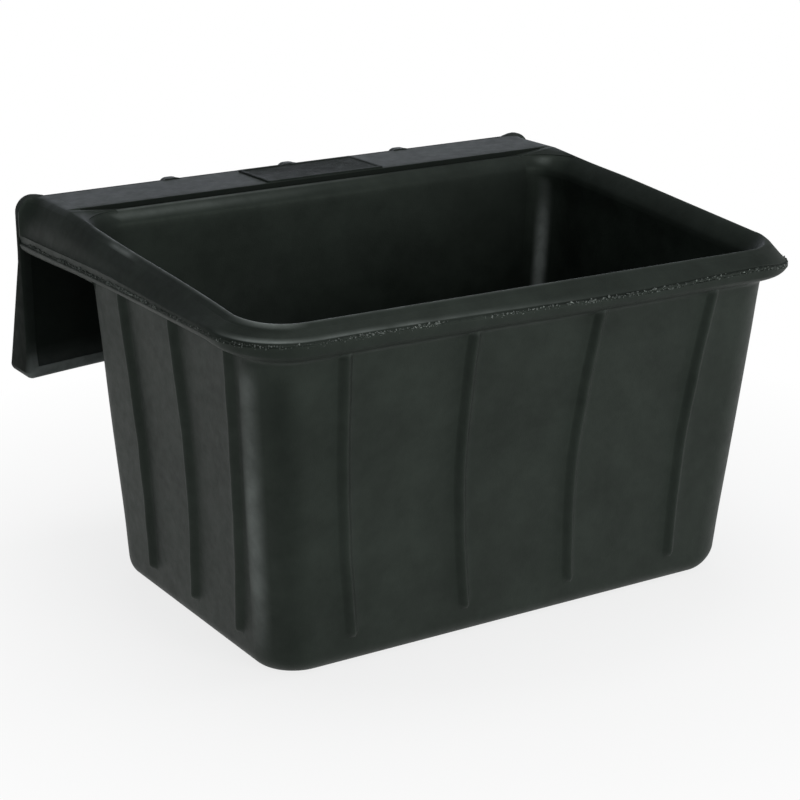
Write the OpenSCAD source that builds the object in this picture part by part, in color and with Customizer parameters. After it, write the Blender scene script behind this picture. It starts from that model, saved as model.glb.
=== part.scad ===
// Over-the-fence feed tub, one moulding of black rubber: a tapered tub with a turned-out rim,
// ribbed walls, and behind it a wide hook that hangs on a board or a rail.
// Each region of the moulding is a solid of its own, and neighbours meet face to face.
// X runs along the rim, -Y is the front, +Y the hook side and Z is up.
// The origin is the middle of the flat underside.

/* [Tub] */
// Outside width at the floor, before the base edge is rounded
floor_w = 360; // [300:1:430]
// Outside depth at the floor, before the base edge is rounded
floor_d = 236; // [200:1:290]
// Height of the walls, from the ground to the underside of the rim
wall_h = 210; // [160:1:250]
// How far each side wall runs out on its way up
side_run = 16; // [4:0.5:28]
// How far the front wall runs out on its way up
front_run = 23; // [4:0.5:36]
// How far the back wall runs out on its way up
back_run = 1; // [0:0.5:6]
// Outside radius of the upright corners
corner_r = 30; // [24:1:45]
// Outside radius of the edge round the base
base_r = 11; // [6:1:18]
// Inside radius where the walls meet the floor
base_in_r = 13; // [8:1:18]
// Thickness of the walls
wall_t = 7; // [5:0.5:9]
// Thickness of the floor
floor_t = 8; // [5:0.5:12]

/* [Rim] */
// Height of the front rim's crest above the walls
front_crest_rise = 26; // [20:0.5:36]
// Height of the rim's outer edge, where the mould parts, above the walls
nose_rise = 13; // [9:0.5:16]
// How far the rim's outer edge stands out from the wall
nose_out = 18; // [12:0.5:24]
// Radius of the rim's outer edge
nose_r = 3.5; // [2:0.25:5]
// How far the crest stands out from the wall
crest_out = 3; // [1:0.5:6]
// Drop of the flared band inside the crest
flare_h = 13; // [8:0.5:18]

/* [Ribs] */
// Number of ribs on the front wall
front_rib_count = 4; // [2:1:6]
// Distance between front ribs, under the rim
front_rib_pitch = 93; // [50:1:100]
// Distance between front ribs at their lower ends
front_rib_foot_pitch = 85; // [45:1:90]
// How far the front ribs' lower ends sit to the left
front_rib_lean = 4; // [0:0.5:8]
// Number of ribs on each side wall
side_rib_count = 3; // [1:1:4]
// Distance between side ribs, under the rim
side_rib_pitch = 75; // [40:1:80]
// Distance between side ribs at their lower ends
side_rib_foot_pitch = 63; // [36:1:70]
// How far the side ribs sit in front of the wall's middle
side_rib_shift = 15; // [0:1:16]
// How far the wall ribs bow sideways, the front ones to the left and the side ones to the front
rib_bow = 4.5; // [0:0.5:8]
// Width of a wall rib
rib_w = 10; // [4:0.5:12]
// How far a wall rib stands out
rib_h = 4.5; // [1:0.25:5]
// Height of a wall rib's lower end above the ground
rib_foot_z = 20; // [19:1:50]

/* [Hook] */
// Height of the saddle's flat top above the walls
saddle_rise = 47; // [40:1:60]
// Depth of the saddle's flat top, front edge to back edge
saddle_d = 60; // [45:1:80]
// Thickness of the saddle
saddle_t = 10; // [7:0.5:14]
// Step down from the saddle to the ledge round the opening
step_h = 3; // [1:0.5:5]
// Width of the ledge at the foot of that step
ledge_w = 4.5; // [2:0.5:8]
// Height of the 45-degree web under the saddle's front edge
web_h = 8; // [4:0.5:12]
// Height of the hook's leg, saddle top to foot
leg_h = 131; // [100:1:180]
// Thickness of the leg's panel
leg_t = 7; // [5:0.5:10]
// Radius of the rounded edge from the saddle to the leg's back
leg_top_r = 5; // [2:0.5:6]
// Radius of the leg's upper corners, seen from behind
leg_corner_r = 12; // [6:1:20]
// Radius of the leg's lower corners, seen from behind
foot_corner_r = 5; // [2:0.5:12]
// Thickness of the flange round the leg's ends
edge_t = 7; // [4:0.5:10]
// Height of the flange along the leg's foot
foot_t = 9; // [5:0.5:14]
// How far the middle of the foot arches up above its ends
foot_arch = 8; // [0:0.5:14]
// Depth of the end flanges at their upper part, front to back
edge_top_d = 8.5; // [7.5:0.5:14]
// How far below the saddle's flat top the end flanges begin to deepen
edge_drop = 44; // [10:1:70]
// Depth of the flange at the leg's foot
edge_foot_d = 36; // [16:1:44]
// Number of ribs on the back of the leg
leg_rib_count = 3; // [1:1:5]
// Distance between leg ribs
leg_rib_pitch = 96; // [50:1:110]
// Width of a leg rib
leg_rib_w = 14; // [8:1:20]
// Depth of a leg rib at its top, from the leg's front face
leg_rib_top_d = 12; // [9:0.5:16]
// Depth of a leg rib at the foot
leg_rib_foot_d = 30; // [12:1:34]
// How far a leg rib's top sits below the saddle's flat top
leg_rib_drop = 1; // [0.5:0.5:8]

/* [Saddle panel] */
// Width of the plain raised panel on the saddle
panel_w = 95; // [50:1:140]
// Depth of the panel
panel_d = 50; // [20:1:54]
// Height of the panel
panel_h = 1.2; // [0.6:0.2:3]
// How far the panel sits to the right of the middle
panel_x = 3; // [-20:1:20]
// Corner radius of the panel
panel_r = 2; // [1:0.5:6]

/* [Hidden] */

rubber = [0.10, 0.11, 0.105];
rubber_top = [0.16, 0.17, 0.17];
rubber_rib = [0.13, 0.14, 0.135];

// Steps of the curves, as counts
corner_steps = 12;
corner_mid = corner_steps/2;
edge_steps = 6;
fascia_steps = 6;
nose_steps = 6;
rib_steps = 16;
rib_foot_steps = 5;
rib_round_steps = 10;

// Names of the upright corners, counted from the front right
front_right = 0;
back_right = 1;
back_left = 2;
front_left = 3;

// The floor ends where the inside radius begins, clear of the corners' centres
floor_inset = min(wall_t + base_in_r, 0.9*corner_r);
base_edge = min(base_r, floor_inset);
base_edge_in = floor_inset - wall_t;

front_crest_z = wall_h + front_crest_rise;
saddle_z = wall_h + saddle_rise;
lip_z = saddle_z - step_h;
nose_z = wall_h + nose_rise;
// The flare ends this far inside the crest, which leaves a narrow rounded top
crest_w = crest_out/2;
flare_out = crest_out - crest_w;

half_top = half_w(wall_h);
side_front_y = front_y(wall_h) + corner_r;
side_back_y = back_y(wall_h) - corner_r;
end_x = half_top - corner_r;
saddle_front_y = back_y(wall_h) + flare_out + ledge_w;
saddle_back_y = saddle_front_y + saddle_d;
leg_y = saddle_back_y - leg_t;
leg_foot_z = saddle_z - leg_h;
leg_half_w = half_top + nose_out;
edge_x = leg_half_w - edge_t;
// Room for cuts to run past what they cut
past = 5;

// Outside faces of the tub at height z
function half_w(z) = floor_w/2 + side_run*z/wall_h;
function front_y(z) = -floor_d/2 - front_run*z/wall_h;
function back_y(z) = floor_d/2 + back_run*z/wall_h;

// Middle and half depth of the side walls at height z
function side_mid_y(z) = (front_y(z) + back_y(z))/2;
function side_half_d(z) = (back_y(z) - front_y(z))/2;

// Centre of an upright corner at height z
function corner_centre(c, z) = [
    (c == front_right || c == back_right ? 1 : -1)*(half_w(z) - corner_r),
    c == back_right || c == back_left ? back_y(z) - corner_r : front_y(z) + corner_r
];

// Outward direction at step a round corner c
function corner_dir(c, a) = let (turn = 90*(c - 1) + 90*a/corner_steps) [cos(turn), sin(turn)];

// Point of the outline at height z, moved out from the wall of height at_z by d
function outline_point(c, a, at_z, d, z) =
    let (p = corner_centre(c, at_z) + (corner_r + d)*corner_dir(c, a)) [p.x, p.y, z];

// Closed outline of the tub at height z, moved in by inset
function outline(z, inset) = [
    for (c = [0:3], a = [0:corner_steps]) outline_point(c, a, z, -inset, z)
];

// Stations of a wall, from the middle of corner c to the middle of the next one
function wall_stations(c) = concat(
    [for (a = [corner_mid:corner_steps]) [c, a]],
    [for (a = [0:corner_mid]) [(c + 1) % 4, a]]
);

// Height of the rim's crest at y: level along the front, then rising straight to the saddle
function crest_z(y) =
    let (share = max(0, (y - side_front_y)/(side_back_y - side_front_y)))
    min(saddle_z, front_crest_z + (lip_z - front_crest_z)*share);

function reversed(list) = [for (i = [len(list) - 1:-1:0]) list[i]];

// Point of a curve from a to c that is drawn towards b
function bend(a, b, c, t) = a*(1 - t)*(1 - t) + 2*b*t*(1 - t) + c*t*t;

// Outer side of the rim's section, from the crest over the nose to the wall, as [out, z]
nose_top_angle = 60;
nose_under_angle = -55;
fascia_reach = 0.62;
fascia_drop = 0.18;
under_reach = 0.4;
under_rise = 0.2;
function fascia(top_z) =
    let (centre = [nose_out - nose_r, nose_z])
    let (from = [crest_out, top_z])
    let (to = centre + nose_r*[cos(nose_top_angle), sin(nose_top_angle)])
    let (pull = from + [fascia_reach*(to.x - from.x), fascia_drop*(to.y - from.y)])
    let (under = [under_reach*nose_out, wall_h + under_rise*nose_rise])
    concat(
        [for (k = [0:fascia_steps - 1]) bend(from, pull, to, k/fascia_steps)],
        [for (k = [0:nose_steps])
            let (turn = nose_top_angle + (nose_under_angle - nose_top_angle)*k/nose_steps)
            centre + nose_r*[cos(turn), sin(turn)]],
        [under, [0, wall_h]]
    );

// Whole section of the rim: outer side, crest, flare and inner face
function rim_section(top_z) = concat(
    reversed(fascia(top_z)),
    [[flare_out, top_z], [-wall_t, top_z - flare_h], [-wall_t, wall_h]]
);

// Section of the rim set at a station
function rim_ring(s) =
    let (y = outline_point(s[0], s[1], wall_h, 0, wall_h).y)
    [for (p = rim_section(crest_z(y))) outline_point(s[0], s[1], wall_h, p.x, p.y)];

// Section of a wall, with the rounded base edge at its foot, set at a station
function wall_ring(s) = concat(
    [outline_point(s[0], s[1], 0, -floor_inset, 0)],
    [for (k = [0:edge_steps])
        let (turn = 90*k/edge_steps, z = base_edge*(1 - cos(turn)))
        outline_point(s[0], s[1], z, -base_edge*(1 - sin(turn)), z)],
    [outline_point(s[0], s[1], wall_h, 0, wall_h), outline_point(s[0], s[1], wall_h, -wall_t, wall_h)],
    [for (k = [edge_steps + 1:-1:0])
        let (turn = 90*k/(edge_steps + 1), z = floor_t + base_edge_in*(1 - cos(turn)))
        outline_point(s[0], s[1], z, -floor_inset + base_edge_in*sin(turn), z)]
);

// Back of the leg's ribs at height z, which deepen towards the foot
function rib_back_y(z) =
    leg_y + leg_rib_top_d + (leg_rib_foot_d - leg_rib_top_d)*(saddle_z - z)/leg_h;

// Back of the leg's flange at height z: shallow beside the cheek, then deepening to the foot
edge_start_z = saddle_z - edge_drop;
function edge_back_y(z) =
    let (share = max(0, (edge_start_z - z)/(edge_start_z - leg_foot_z)))
    leg_y + edge_top_d + (edge_foot_d - edge_top_d)*share;

// Underside of the arched foot at x
arch_steps = 24;
function foot_z(x) = leg_foot_z + foot_arch*(1 - x*x/(leg_half_w*leg_half_w));

// Faces that close a section of n points: one, or for a bent strip a row from side to side
function cap(n, strip) = strip
    ? [for (i = [0:n/2 - 2]) [i, i + 1, n - 2 - i, n - 1 - i]]
    : [[for (i = [0:n - 1]) i]];

// Closed skin over a row of sections, with flat ends.
// Each section runs clockwise, seen from the end of the row.
module skin(sections, strip = false) {
    n = len(sections[0]);
    last = len(sections) - 1;
    sides = [
        for (k = [0:last - 1], i = [0:n - 1])
            let (j = (i + 1) % n)
            each [[k*n + i, k*n + j, (k + 1)*n + j], [k*n + i, (k + 1)*n + j, (k + 1)*n + i]]
    ];
    start = [for (f = cap(n, strip)) reversed(f)];
    end = [for (f = cap(n, strip)) [for (i = f) last*n + i]];
    polyhedron(points = [for (s = sections) each s], faces = concat(start, sides, end));
}

module wall(c) {
    color(rubber) skin([for (s = wall_stations(c)) wall_ring(s)], strip = true);
}

// Space inside the rim, with the flare all round
module rim_space() {
    levels = [
        for (k = [3:-1:0])
            [for (c = [0:3], a = [0:corner_steps])
                let (y = outline_point(c, a, wall_h, 0, wall_h).y)
                let (top = min(lip_z, crest_z(y)))
                k == 0 ? outline_point(c, a, wall_h, -wall_t, wall_h - past)
                : k == 1 ? outline_point(c, a, wall_h, -wall_t, top - flare_h)
                : k == 2 ? outline_point(c, a, wall_h, flare_out, top)
                : outline_point(c, a, wall_h, flare_out, saddle_z + past)]
    ];
    skin(levels);
}

// Side view of the lip over the back wall, and of the saddle, as [y, z]
function lip_profile() = [
    [back_y(wall_h) - wall_t, wall_h],
    [back_y(wall_h), wall_h],
    [back_y(wall_h), saddle_z - saddle_t - web_h],
    [saddle_front_y, saddle_z - saddle_t - max(0, web_h - (saddle_front_y - back_y(wall_h)))],
    [saddle_front_y, lip_z],
    [back_y(wall_h) + flare_out, lip_z],
    [back_y(wall_h) - wall_t, lip_z - flare_h]
];
function saddle_profile() = [
    [saddle_front_y, saddle_z - saddle_t],
    [leg_y, saddle_z - saddle_t],
    [leg_y, saddle_z],
    [saddle_front_y, saddle_z]
];

// Extrudes a side view, drawn as [y, z], from x0 to x1
module along_x(x0, x1) {
    translate([x0, 0, 0]) rotate([90, 0, 90]) linear_extrude(x1 - x0) children();
}

// One end of the hook: the rim's outer side carried back to the leg, and the corner inside it
module cheek() {
    section = function (y, top_z) [
        for (p = concat([[-wall_t, wall_h], [-wall_t, top_z]], fascia(top_z)))
            [half_top + p.x, y, p.y]
    ];
    corner_profile = [
        [side_back_y, wall_h],
        [back_y(wall_h), wall_h],
        each [for (k = [2:4]) lip_profile()[k]],
        [side_back_y, lip_z]
    ];
    color(rubber) difference() {
        union() {
            skin([for (y = [leg_y, saddle_front_y, side_back_y]) section(y, crest_z(y))]);
            along_x(end_x, half_top - wall_t/2) {
                polygon(corner_profile);
                polygon(saddle_profile());
            }
        }
        rim_space();
    }
}

// How far up its own height a wall rib is at z, from 0 to 1
function rib_share(z) = (z - rib_foot_z)/(wall_h - rib_foot_z);

// Place of rib k along its wall at height z, from the wall's middle, with room left for the corners
function rib_place(k, count, foot_pitch, top_pitch, room, z) =
    let (pitch = foot_pitch + (top_pitch - foot_pitch)*rib_share(z))
    min(pitch, 2*(room - corner_r - rib_bow - rib_w/2)/max(1, count - 1))*(k - (count - 1)/2)
        - rib_bow*sin(180*rib_share(z));
function front_rib_x(k, z) =
    rib_place(k, front_rib_count, front_rib_foot_pitch, front_rib_pitch, half_w(z) - front_rib_lean, z)
        - front_rib_lean*(1 - rib_share(z));
function side_rib_y(k, z) =
    rib_place(k, side_rib_count, side_rib_foot_pitch, side_rib_pitch, side_half_d(z) - side_rib_shift, z)
        + side_mid_y(z) - side_rib_shift;

// Levels of a wall rib from its domed foot up, as [z, share of its full section]
rib_levels = concat(
    [for (k = [1:rib_foot_steps])
        let (turn = 90*k/rib_foot_steps) [rib_foot_z + (1 - cos(turn))*rib_w/2, sin(turn)]],
    [for (k = [1:rib_steps])
        let (from = rib_foot_z + rib_w/2) [from + (wall_h - from)*k/rib_steps, 1]]
);

// Half-round section of a wall rib, as [along the wall, out from it]
rib_round = [
    for (k = [0:rib_round_steps])
        let (turn = 180*k/rib_round_steps) [cos(turn)*rib_w/2, sin(turn)*rib_h]
];

// Ribs of one side wall, drawn for the right-hand side
module side_rib_set() {
    for (k = [0:side_rib_count - 1])
        skin([for (v = rib_levels) [for (p = reversed(rib_round))
            [half_w(v[0]) + v[1]*p.y, side_rib_y(k, v[0]) + v[1]*p.x, v[0]]]]);
}

// Side view of the leg's flange
module edge_profile() {
    polygon([
        [leg_y, leg_foot_z], [edge_back_y(leg_foot_z), leg_foot_z],
        [edge_back_y(edge_start_z), edge_start_z], [edge_back_y(edge_start_z), saddle_z], [leg_y, saddle_z]
    ]);
}

// Side view of a leg rib
module leg_rib_profile() {
    top_z = saddle_z - leg_rib_drop;
    y0 = leg_y + leg_t/2;
    polygon([[y0, leg_foot_z], [rib_back_y(leg_foot_z), leg_foot_z], [rib_back_y(top_z), top_z], [y0, top_z]]);
}

// Side view of the leg's panel, rounded where the saddle turns down into it
module panel_profile() {
    bend_r = min(leg_top_r, leg_t - 0.5);
    translate([leg_y, leg_foot_z]) square([leg_t, leg_h - bend_r]);
    translate([leg_y, saddle_z - 2*bend_r]) square([leg_t - bend_r, 2*bend_r]);
    intersection() {
        translate([saddle_back_y - bend_r, saddle_z - bend_r]) circle(bend_r, $fn = 48);
        translate([leg_y, leg_foot_z]) square([leg_t, leg_h]);
    }
}

// Outline of the leg seen from behind, as [x, z], with rounded corners
module leg_outline() {
    top = leg_half_w - leg_corner_r;
    foot = leg_half_w - foot_corner_r;
    low_z = leg_foot_z + foot_corner_r;
    translate([-foot, leg_foot_z]) square([2*foot, leg_h - leg_corner_r]);
    translate([-top, low_z]) square([2*top, leg_h - foot_corner_r]);
    translate([-leg_half_w, low_z]) square([2*leg_half_w, leg_h - leg_corner_r - foot_corner_r]);
    for (side = [-1, 1]) {
        translate([side*top, saddle_z - leg_corner_r]) circle(leg_corner_r, $fn = 48);
        translate([side*foot, low_z]) circle(foot_corner_r, $fn = 48);
    }
}

// Room inside that outline, front to back
module leg_block() {
    translate([0, leg_y + 2*edge_foot_d, 0]) rotate([90, 0, 0])
        linear_extrude(3*edge_foot_d) leg_outline();
}

// Room of the foot flange seen from behind, from below it up to its arched upper side, or only the flange
module foot_block(whole) {
    xs = [for (k = [0:arch_steps]) edge_x*(2*k/arch_steps - 1)];
    translate([0, leg_y + 2*edge_foot_d, 0]) rotate([90, 0, 0]) linear_extrude(3*edge_foot_d)
        polygon(concat(
            [for (x = xs) [x, whole ? leg_foot_z - past : foot_z(x)]],
            [for (x = reversed(xs)) [x, foot_z(x) + foot_t]]
        ));
}

module tub_floor() {
    color(rubber) skin([outline(floor_t, floor_inset), outline(0, floor_inset)]);
}

module front_wall() { wall(front_left); }
module right_wall() { wall(front_right); }
module back_wall() { wall(back_right); }
module left_wall() { wall(back_left); }

module front_rim() {
    color(rubber) skin([for (s = wall_stations(front_left)) rim_ring(s)]);
}

module right_rim() {
    stations = concat([for (a = [corner_mid:corner_steps]) [front_right, a]], [[back_right, 0]]);
    color(rubber) skin([for (s = stations) rim_ring(s)]);
}

module left_rim() {
    mirror([1, 0, 0]) right_rim();
}

module back_lip() {
    color(rubber) along_x(-end_x, end_x) polygon(lip_profile());
}

module hook_saddle() {
    color(rubber_top) along_x(-end_x, end_x) polygon(saddle_profile());
}

module saddle_panel() {
    mid_y = (saddle_front_y + leg_y)/2;
    color(rubber_top) translate([panel_x, mid_y, saddle_z]) linear_extrude(panel_h) {
        square([panel_w, panel_d - 2*panel_r], center = true);
        square([panel_w - 2*panel_r, panel_d], center = true);
        for (x = [-1, 1], y = [-1, 1])
            translate([x*(panel_w/2 - panel_r), y*(panel_d/2 - panel_r)]) circle(panel_r, $fn = 24);
    }
}

module right_cheek() { cheek(); }
module left_cheek() { mirror([1, 0, 0]) cheek(); }

module hook_leg() {
    color(rubber) difference() {
        intersection() {
            along_x(-edge_x, edge_x) panel_profile();
            leg_block();
        }
        foot_block(true);
    }
}

// Flange at the leg's right-hand end
module end_flange() {
    color(rubber) intersection() {
        along_x(edge_x, leg_half_w) edge_profile();
        leg_block();
    }
}

module right_flange() { end_flange(); }
module left_flange() { mirror([1, 0, 0]) end_flange(); }

module foot_flange() {
    color(rubber) intersection() {
        along_x(-edge_x, edge_x) edge_profile();
        foot_block(false);
        leg_block();
    }
}

module leg_ribs() {
    color(rubber_rib)
        for (k = [0:leg_rib_count - 1]) {
            x = leg_rib_pitch*(k - (leg_rib_count - 1)/2);
            difference() {
                along_x(x - leg_rib_w/2, x + leg_rib_w/2) difference() {
                    leg_rib_profile();
                    panel_profile();
                }
                foot_block(true);
            }
        }
}

module front_ribs() {
    color(rubber_rib)
        for (k = [0:front_rib_count - 1])
            skin([for (v = rib_levels) [for (p = rib_round)
                [front_rib_x(k, v[0]) + v[1]*p.x, front_y(v[0]) - v[1]*p.y, v[0]]]]);
}

module right_ribs() {
    color(rubber_rib) side_rib_set();
}

module left_ribs() {
    color(rubber_rib) mirror([1, 0, 0]) side_rib_set();
}

tub_floor();
front_wall();
right_wall();
back_wall();
left_wall();
front_rim();
right_rim();
left_rim();
back_lip();
hook_saddle();
saddle_panel();
right_cheek();
left_cheek();
hook_leg();
right_flange();
left_flange();
foot_flange();
leg_ribs();
front_ribs();
right_ribs();
left_ribs();
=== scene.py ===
import math

import bmesh
import bpy
from mathutils import Matrix, Vector, noise


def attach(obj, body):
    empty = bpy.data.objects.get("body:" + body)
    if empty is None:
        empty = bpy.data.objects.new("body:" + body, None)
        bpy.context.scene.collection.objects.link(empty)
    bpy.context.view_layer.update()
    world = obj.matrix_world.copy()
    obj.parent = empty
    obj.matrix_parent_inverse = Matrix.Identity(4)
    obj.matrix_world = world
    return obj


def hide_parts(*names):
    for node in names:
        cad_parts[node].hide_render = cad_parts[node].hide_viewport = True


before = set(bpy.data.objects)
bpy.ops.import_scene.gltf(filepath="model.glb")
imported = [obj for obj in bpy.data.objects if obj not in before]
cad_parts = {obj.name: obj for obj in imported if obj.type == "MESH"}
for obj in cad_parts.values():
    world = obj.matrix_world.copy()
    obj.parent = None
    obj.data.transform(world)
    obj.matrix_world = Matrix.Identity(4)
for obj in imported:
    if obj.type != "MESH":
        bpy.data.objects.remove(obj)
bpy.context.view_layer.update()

# Sizes in millimetres. Most are the solids' own; the saddle's front edge, the panel and the bows of the
# wall ribs follow the photo more closely.
MM = 0.001
FLOOR_W, FLOOR_D, WALL_H = 360.0, 236.0, 210.0
SIDE_RUN, FRONT_RUN, BACK_RUN = 16.0, 23.0, 1.0
CORNER_R, BASE_R, BASE_IN_R, WALL_T, FLOOR_T = 30.0, 11.0, 13.0, 7.0, 8.0
CREST_Z, LIP_Z, SADDLE_Z = 236.0, 254.0, 257.0
SADDLE_T, LEG_T, LEG_H = 10.0, 7.0, 131.0
SADDLE_FRONT_Y, SADDLE_BACK_Y = 127.5, 185.0
LEG_Y = SADDLE_BACK_Y - LEG_T
LEG_FOOT_Z = SADDLE_Z - LEG_H
LEG_HALF_W, EDGE_T, FOOT_T, FOOT_ARCH = 214.0, 7.0, 9.0, 8.0
EDGE_TOP_D, EDGE_FOOT_D, EDGE_DROP, LEG_CORNER_R = 8.5, 36.0, 44.0, 12.0
LEG_RIB_TOP_D, LEG_RIB_FOOT_D = 12.0, 30.0
ARM_IN_X = 189.0
LEG_FILLET = 12.0
# Ribs of the walls: place at the top and at the foot from the wall's middle, and bow on the way up
FRONT_RIBS = ((-139.5, -126.5, 3.5), (-48.0, -42.0, 7.0), (48.0, 40.5, 8.4), (139.5, 124.5, 6.2))
SIDE_RIBS = ((-90.0, -74.5, 4.3), (-15.0, -12.0, 7.2), (60.5, 51.5, 6.4))
RIB_W, RIB_H, RIB_FOOT_Z = 10.0, 4.5, 20.0
LEG_RIBS, LEG_RIB_W = (-96.0, 0.0, 96.0), 14.0
PANEL_X, PANEL_Y, PANEL_W, PANEL_D, PANEL_H = 3.0, 152.5, 95.0, 48.0, 1.2
# The saddle's step starts a little before its front edge and rises over that run
STEP_Y, STEP_RUN = SADDLE_FRONT_Y - 0.9, 2.3


def half_w(z):
    return FLOOR_W / 2 + SIDE_RUN * z / WALL_H


def front_y(z):
    return -FLOOR_D / 2 - FRONT_RUN * z / WALL_H


def back_y(z):
    return FLOOR_D / 2 + BACK_RUN * z / WALL_H


HALF_TOP = half_w(WALL_H)
SIDE_FRONT_Y = front_y(WALL_H) + CORNER_R
SIDE_BACK_Y = back_y(WALL_H) - CORNER_R
END_X = HALF_TOP - CORNER_R
CREST_X = HALF_TOP + 2.2
FLOOR_INSET = WALL_T + BASE_IN_R
EDGE_START_Z = SADDLE_Z - EDGE_DROP


# Curves

def clamp(t):
    return min(1.0, max(0.0, t))


def smoothstep(t):
    t = clamp(t)
    return t * t * (3 - 2 * t)


def ease(value, start, end):
    """0 up to the start, 1 from the end on, and a smooth change between them."""
    return smoothstep((value - start) / (end - start))


def bell(value, middle, reach):
    """1 in the middle, and a smooth fall to 0 at that reach on both sides."""
    return smoothstep(1.0 - abs(value - middle) / reach)


def lerp(a, b, t):
    return a + (b - a) * t


def wave(x, y, z, size, seed=0.0):
    """Slow unevenness of the moulding, about -1 to 1, with features of that size in millimetres."""
    return noise.noise(Vector((x / size + seed, y / size - seed, z / size + 2 * seed)))


def turns(start, end, steps):
    """Angles in radians, from one given in degrees to another."""
    return [math.radians(start + (end - start) * k / steps) for k in range(steps + 1)]


def arc(cy, cz, r, start, end, steps):
    """Points of an arc in the side view, as (y, z)."""
    return [(cy + r * math.cos(t), cz + r * math.sin(t)) for t in turns(start, end, steps)]


# Corners of a rectangle: the side of its middle that each is on, and where its round starts in degrees
QUARTERS = ((1, 1, 0), (-1, 1, 90), (-1, -1, 180), (1, -1, 270))
QUARTER_STEPS = 5


def curve_through(points, steps):
    """Catmull-Rom curve through the points, with that many steps to each stretch."""
    out = []
    last = len(points) - 1
    for i in range(last):
        p0, p1 = points[max(i - 1, 0)], points[i]
        p2, p3 = points[i + 1], points[min(i + 2, last)]
        for k in range(steps):
            t = k / steps
            out.append(tuple(
                0.5 * (2 * b + (c - a) * t + (2 * a - 5 * b + 4 * c - d) * t * t
                       + (3 * b - a - 3 * c + d) * t ** 3)
                for a, b, c, d in zip(p0, p1, p2, p3)
            ))
    out.append(tuple(points[last]))
    return out


# Rubber

# What painted light (smoother too, as polished rubber) and painted shade turn the rubber into, and the
# tint of its shine
PALE, PALE_ROUGHNESS = (0.2, 0.22, 0.21), 0.3
PAINTED_SHADE, PAINTED_SHADE_ROUGHNESS = (0.002, 0.003, 0.0025), 0.9
SHINE_TINT = (0.84, 1.0, 0.87)


def feed(tree, node, inputs):
    """Gives inputs of a node a number, a colour or another node's output each; returns its outputs."""
    for key, value in inputs.items():
        if isinstance(value, bpy.types.NodeSocket):
            tree.links.new(value, node.inputs[key])
        else:
            node.inputs[key].default_value = value
    return node.outputs


def calc(tree, operation, *values):
    node = tree.nodes.new("ShaderNodeMath")
    node.operation = operation
    return feed(tree, node, dict(enumerate(values)))[0]


def spread(tree, source, from_low, from_high, to_low, to_high):
    """Stretches a range of values to another."""
    return feed(tree, tree.nodes.new("ShaderNodeMapRange"), {
        "Value": source, "From Min": from_low, "From Max": from_high,
        "To Min": to_low, "To Max": to_high,
    })["Result"]


def make_rubber(name, low, high, roughness, grain, shine):
    """Black moulded rubber: a cloudy tone from low to high, a roughness that varies, and a fine grain.

    A mesh's "wear" attribute paints light, paler and smoother, where above 0, and paints shade, darker
    and duller, where below.
    """
    material = bpy.data.materials.new(name)
    material.use_nodes = True
    tree = material.node_tree
    place = tree.nodes.new("ShaderNodeTexCoord").outputs["Object"]

    def cloud(scale, detail, rough):
        return feed(tree, tree.nodes.new("ShaderNodeTexNoise"), {
            "Vector": place, "Scale": scale, "Detail": detail, "Roughness": rough,
        })["Fac"]

    def mix(a, b, share):
        node = tree.nodes.new("ShaderNodeMix")
        node.data_type = "RGBA"
        return feed(tree, node, {"A": a, "B": b, "Factor": share})["Result"]

    def bump(inputs):
        return feed(tree, tree.nodes.new("ShaderNodeBump"), inputs)["Normal"]

    broad, middling = cloud(16.0, 5.0, 0.62), cloud(55.0, 3.0, 0.6)
    fine, specks = cloud(130.0, 4.0, 0.65), cloud(900.0, 2.0, 0.5)
    mottled = calc(tree, "MULTIPLY", broad, 0.65)
    mottled = calc(tree, "ADD", mottled, calc(tree, "MULTIPLY", middling, 0.35))
    tone = mix((*low, 1), (*high, 1), spread(tree, mottled, 0.37, 0.63, 0.0, 1.0))
    attribute = tree.nodes.new("ShaderNodeAttribute")
    attribute.attribute_name = "wear"
    wear = attribute.outputs["Fac"]
    # Painted light, in patches, where the attribute is above 0
    patchy = spread(tree, cloud(45.0, 4.0, 0.6), 0.25, 0.7, 0.35, 1.0)
    pale = calc(tree, "MULTIPLY", calc(tree, "MAXIMUM", wear, 0.0), patchy)
    pale = calc(tree, "MINIMUM", pale, 1.0)
    # Painted shade where the attribute is below 0
    painted_shade_share = calc(tree, "MAXIMUM", calc(tree, "MULTIPLY", wear, -1.0), 0.0)
    painted_shade_share = calc(tree, "MINIMUM", painted_shade_share, 1.0)
    rough = spread(tree, fine, 0.3, 0.7, *roughness)
    for share, target in ((pale, PALE_ROUGHNESS), (painted_shade_share, PAINTED_SHADE_ROUGHNESS)):
        rough = calc(tree, "MULTIPLY_ADD", share, calc(tree, "SUBTRACT", target, rough), rough)
    grained = bump({"Height": specks, "Strength": grain, "Distance": 0.0003})
    feed(tree, tree.nodes["Principled BSDF"], {
        "Base Color": mix(mix(tone, (*PALE, 1), pale), (*PAINTED_SHADE, 1), painted_shade_share),
        "Roughness": rough,
        "Normal": bump({"Height": fine, "Strength": 0.03, "Distance": 0.0008, "Normal": grained}),
        "Specular IOR Level": shine,
        "Specular Tint": (*SHINE_TINT, 1),
    })
    return material


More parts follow.
